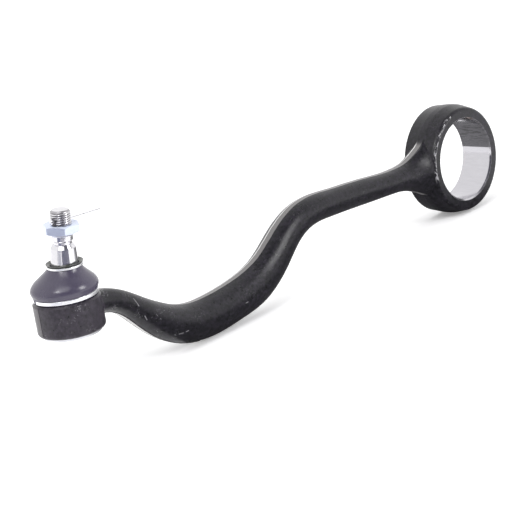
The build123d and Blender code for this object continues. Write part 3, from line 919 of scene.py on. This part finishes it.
class ARM_OT_boot(bpy.types.Operator):
    """Build the dust boot: bead, bulge, seat of the upper ring and dished lip"""

    bl_idname = "suspension_arm.boot"
    bl_label = "Dust boot"

    def execute(self, context):
        settings = context.scene.boot_settings
        base = Vector((BALL.x, BALL.y, HOUSING_TOP))
        neck, lean = self.neck(settings)
        skin = self.outer_skin(settings)
        rings = [self.ring(base, neck, lean, share, radius, settings.sides) for share, radius in skin]
        side, across = lean_frame(lean)
        for height, radius in self.lip(settings):
            rings.append(circle_points(neck + lean * height, side, across, radius, settings.sides))

        # Inner skin, back down to the bead
        bead, wall = settings.bead_radius, settings.wall
        inner = [(share, radius - wall) for share, radius in reversed(skin) if share > 0.25]
        inner += [(0.19, bead - wall), (0.002, bead - wall)]
        rings += [self.ring(base, neck, lean, share, radius, settings.sides) for share, radius in inner]
        mesh = rings_to_mesh("boot", rings, closed_section=True)
        lip_tone = (neck + lean * (1.15 * MM), lean, settings.lip_colour)
        rubber = moulded_rubber("boot_rubber", settings.colour, settings.bloom, settings.roughness, lip_tone)
        boot = add_piece("boot", mesh, rubber)
        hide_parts("dust_boot")
        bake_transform(boot)
        return {"FINISHED"}

    def neck(self, settings):
        """Centre of the boot's neck and its direction."""
        middle = (NECK_RING_LOW + NECK_RING_HIGH) / 2
        flat = Vector((STUD_AXIS.x, STUD_AXIS.y, 0)).normalized()
        lean = (flat * sin(settings.neck_tilt) + UP * cos(settings.neck_tilt)).normalized()
        return middle - lean * (0.35 * MM), lean

    def outer_skin(self, settings):
        """The outside from the bead up, as shares of the way to the neck and radii."""
        bead, bulge, slim = settings.bead_radius, settings.bulge_radius, settings.neck_radius
        skin = [(0.002, bead - 0.5 * MM), (0.01, bead), (0.08, bead), (0.13, bead - 0.05 * MM)]
        skin += [(0.152, bead + 0.1 * MM), (0.17, bead + 0.75 * MM), (0.20, bulge - 1.0 * MM)]
        swells = [(0.24, 0.955), (0.30, 0.99), (0.36, 1.0), (0.43, 0.96), (0.50, 0.88), (0.57, 0.77)]
        swells += [(0.64, 0.63), (0.71, 0.48), (0.78, 0.33), (0.85, 0.20), (0.91, 0.10), (0.95, 0.055)]
        swells += [(0.975, 0.02)]
        return skin + [(share, slim + swell * (bulge - slim)) for share, swell in swells]

    def lip(self, settings):
        """The neck under the ring and the lip that flares over it, as heights over the neck and radii."""
        slim, wall = settings.neck_radius, settings.wall
        growths = [(0.2, 0.0), (0.6, -0.12), (1.1, -0.05), (1.35, 0.35), (1.7, 0.85), (2.05, 1.15)]
        growths += [(2.3, 1.32), (2.42, 1.25)]
        profile = [(height * MM, slim + growth * MM) for height, growth in growths]
        profile += [(2.38 * MM, settings.lip_radius - 0.75 * MM), (2.0 * MM, slim - 0.35 * MM)]
        profile += [(1.5 * MM, slim - 1.25 * MM), (1.2 * MM, slim - wall - 0.15 * MM)]
        return profile + [(0.4 * MM, slim - wall - 0.2 * MM)]

    def ring(self, base, neck, lean, share, radius, sides):
        """Points of one ring of the boot, whose centre bends over towards the neck."""
        way = neck - base
        bend = share**3
        centre = base + Vector((way.x * bend, way.y * bend, way.z * share))
        side, across = lean_frame(UP.lerp(lean, bend).normalized())
        return circle_points(centre, side, across, radius, sides)


def lean_frame(direction):
    """Two directions square to a nearly upright one."""
    side = Vector((1, 0, 0))
    side = (side - direction * side.dot(direction)).normalized()
    return side, direction.cross(side)


class ARM_OT_rings(bpy.types.Operator):
    """Finish the boot's two rings, the closing cap and the bearing shell"""

    bl_idname = "suspension_arm.rings"
    bl_label = "Rings, cap and shell"

    def execute(self, context):
        settings = context.scene.plate_settings
        bright = plated_steel("bright_ring", settings.ring, settings.ring_tint, roughness=0.28)
        zinc = plated_steel("cap_plate", settings.cap, settings.cap_tint, roughness=0.34)
        polymer = moulded_rubber("shell_polymer", SHELL_COLOUR, SHELL_BLOOM, roughness=0.5)
        paint_node("boot_clip_ring", bright)
        paint_node("boot_neck_ring", bright)
        paint_node("closing_cap", zinc)
        paint_node("bearing_shell", polymer)
        return {"FINISHED"}


class ARM_OT_stage(bpy.types.Operator):
    """Set the camera, the pale floor and the soft lights"""

    bl_idname = "suspension_arm.stage"
    bl_label = "Stage"

    def execute(self, context):
        settings = context.scene.stage_settings
        self.set_camera(context.scene, settings)
        floor_height = ARM_LOW.z - 0.05 * MM
        self.lay_floor(settings, floor_height)
        self.set_reflected(settings, floor_height)
        world = bpy.data.worlds.new("studio")
        world.use_nodes = True
        self.light_sky(world.node_tree, settings)
        context.scene.world = world
        context.scene.view_settings.view_transform = "Standard"

        middle = (ARM_LOW + ARM_HIGH) / 2
        for name, place, width, height in LIGHTS:
            light_data = bpy.data.lights.new(f"{name}_light", "AREA")
            light_data.shape = "RECTANGLE"
            light_data.size, light_data.size_y = width, height
            light_data.energy = getattr(settings, f"{name}_power")
            light = bpy.data.objects.new(f"{name}_light", light_data)
            light.location = middle + place
            light.rotation_euler = (-place).to_track_quat("-Z", "Y").to_euler()
            context.scene.collection.objects.link(light)
        return {"FINISHED"}

    def set_camera(self, scene, settings):
        camera_data = bpy.data.cameras.new("camera")
        camera_data.sensor_width = 36.0
        camera_data.lens = settings.lens
        camera_data.clip_start, camera_data.clip_end = 0.05, 50.0
        camera = bpy.data.objects.new("camera", camera_data)
        scene.collection.objects.link(camera)
        back = CAMERA_RIGHT.cross(CAMERA_UP)
        turn = Matrix((CAMERA_RIGHT, CAMERA_UP, back)).transposed().to_4x4()
        camera.matrix_world = Matrix.Translation(CAMERA_PLACE) @ turn
        scene.camera = camera

    def lay_floor(self, settings, height):
        half = settings.floor_size / 2
        outline = ((-half, -half), (half, -half), (half, half), (-half, half))
        floor = flat_piece("floor", [(x, y, height) for x, y in outline], settings.floor_colour)
        shader = floor.active_material.node_tree.nodes["Principled BSDF"]
        shader.inputs["Emission Color"].default_value = rgba(settings.floor_colour)
        shader.inputs["Emission Strength"].default_value = settings.floor_glow

    def set_reflected(self, settings, floor_height):
        """Two cards on the floor and a dark screen before the joint, which only reflections show."""
        reflected = []
        for name, outline, colour in (
            ("grey_card", GREY_CARD, settings.card_colour),
            ("blue_card", BLUE_CARD, settings.blue_colour),
        ):
            corners = [(x, y, floor_height + 0.02 * MM) for x, y in outline]
            reflected.append(flat_piece(name, corners, colour))
        towards = Vector((cos(SCREEN_HEADING), sin(SCREEN_HEADING), 0))
        middle = BALL + towards * SCREEN_AWAY
        along = Vector((-towards.y, towards.x, 0)) * SCREEN_HALF_WIDTH
        low, high = UP * (floor_height - BALL.z), UP * SCREEN_TOP
        corners = [middle - along + low, middle + along + low, middle + along + high, middle - along + high]
        reflected.append(flat_piece("dark_screen", corners, settings.screen_colour))
        for piece in reflected:
            piece.visible_camera = piece.visible_diffuse = piece.visible_shadow = False

    def light_sky(self, tree, settings):
        """White light from all round, but for the studio's unlit side, which gives the steel its contrast."""
        background = tree.nodes["Background"]
        towards = node(tree, "ShaderNodeTexCoord").outputs["Generated"]
        dim = along_way(tree, towards, Vector(settings.dim_direction).normalized())
        share = within(tree, dim, cos(settings.dim_edge), cos(settings.dim_core))
        colour = mix_colours(tree, share, settings.sky_colour, settings.dim_colour)
        tree.links.new(colour, background.inputs["Color"])
        background.inputs["Strength"].default_value = settings.sky_strength


def flat_piece(name, corners, colour):
    """One flat face in a plain, matt colour."""
    mesh = bpy.data.meshes.new(name)
    mesh.from_pydata(corners, [], [tuple(range(len(corners)))])
    material, tree, shader, place = new_material(name)
    plain = mix_colours(tree, noise(tree, place, 2.0), colour, colour)
    tree.links.new(plain, shader.inputs["Base Color"])
    shader.inputs["Roughness"].default_value = 1.0
    shader.inputs["Specular IOR Level"].default_value = 0.0
    return add_piece(name, mesh, material)


class ARM_PT_panel(bpy.types.Panel):
    bl_label = "Suspension arm"
    bl_idname = "ARM_PT_panel"
    bl_space_type = "VIEW_3D"
    bl_region_type = "UI"
    bl_category = "Suspension arm"

    def draw(self, context):
        for operator in OPERATORS:
            self.layout.operator(operator.bl_idname)


OPERATORS = (ARM_OT_forging, ARM_OT_burr, ARM_OT_stud, ARM_OT_nut)
OPERATORS += (ARM_OT_pin, ARM_OT_boot, ARM_OT_rings, ARM_OT_stage)
SETTINGS = {
    "forging_settings": ForgingSettings,
    "burr_settings": BurrSettings,
    "stud_settings": StudSettings,
    "pin_settings": PinSettings,
    "plate_settings": PlateSettings,
    "boot_settings": BootSettings,
    "stage_settings": StageSettings,
}


def register():
    for name, group in SETTINGS.items():
        bpy.utils.register_class(group)
        setattr(bpy.types.Scene, name, PointerProperty(type=group))
    for each in (*OPERATORS, ARM_PT_panel):
        bpy.utils.register_class(each)


def unregister():
    for each in reversed((*OPERATORS, ARM_PT_panel)):
        bpy.utils.unregister_class(each)
    for name, group in reversed(SETTINGS.items()):
        delattr(bpy.types.Scene, name)
        bpy.utils.unregister_class(group)


def main():
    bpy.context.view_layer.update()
    register()
    bpy.ops.suspension_arm.forging()
    bpy.ops.suspension_arm.burr()
    bpy.ops.suspension_arm.stud()
    bpy.ops.suspension_arm.nut()
    bpy.ops.suspension_arm.pin()
    bpy.ops.suspension_arm.boot()
    bpy.ops.suspension_arm.rings()
    bpy.ops.suspension_arm.stage()


if __name__ == "__main__":
    main()
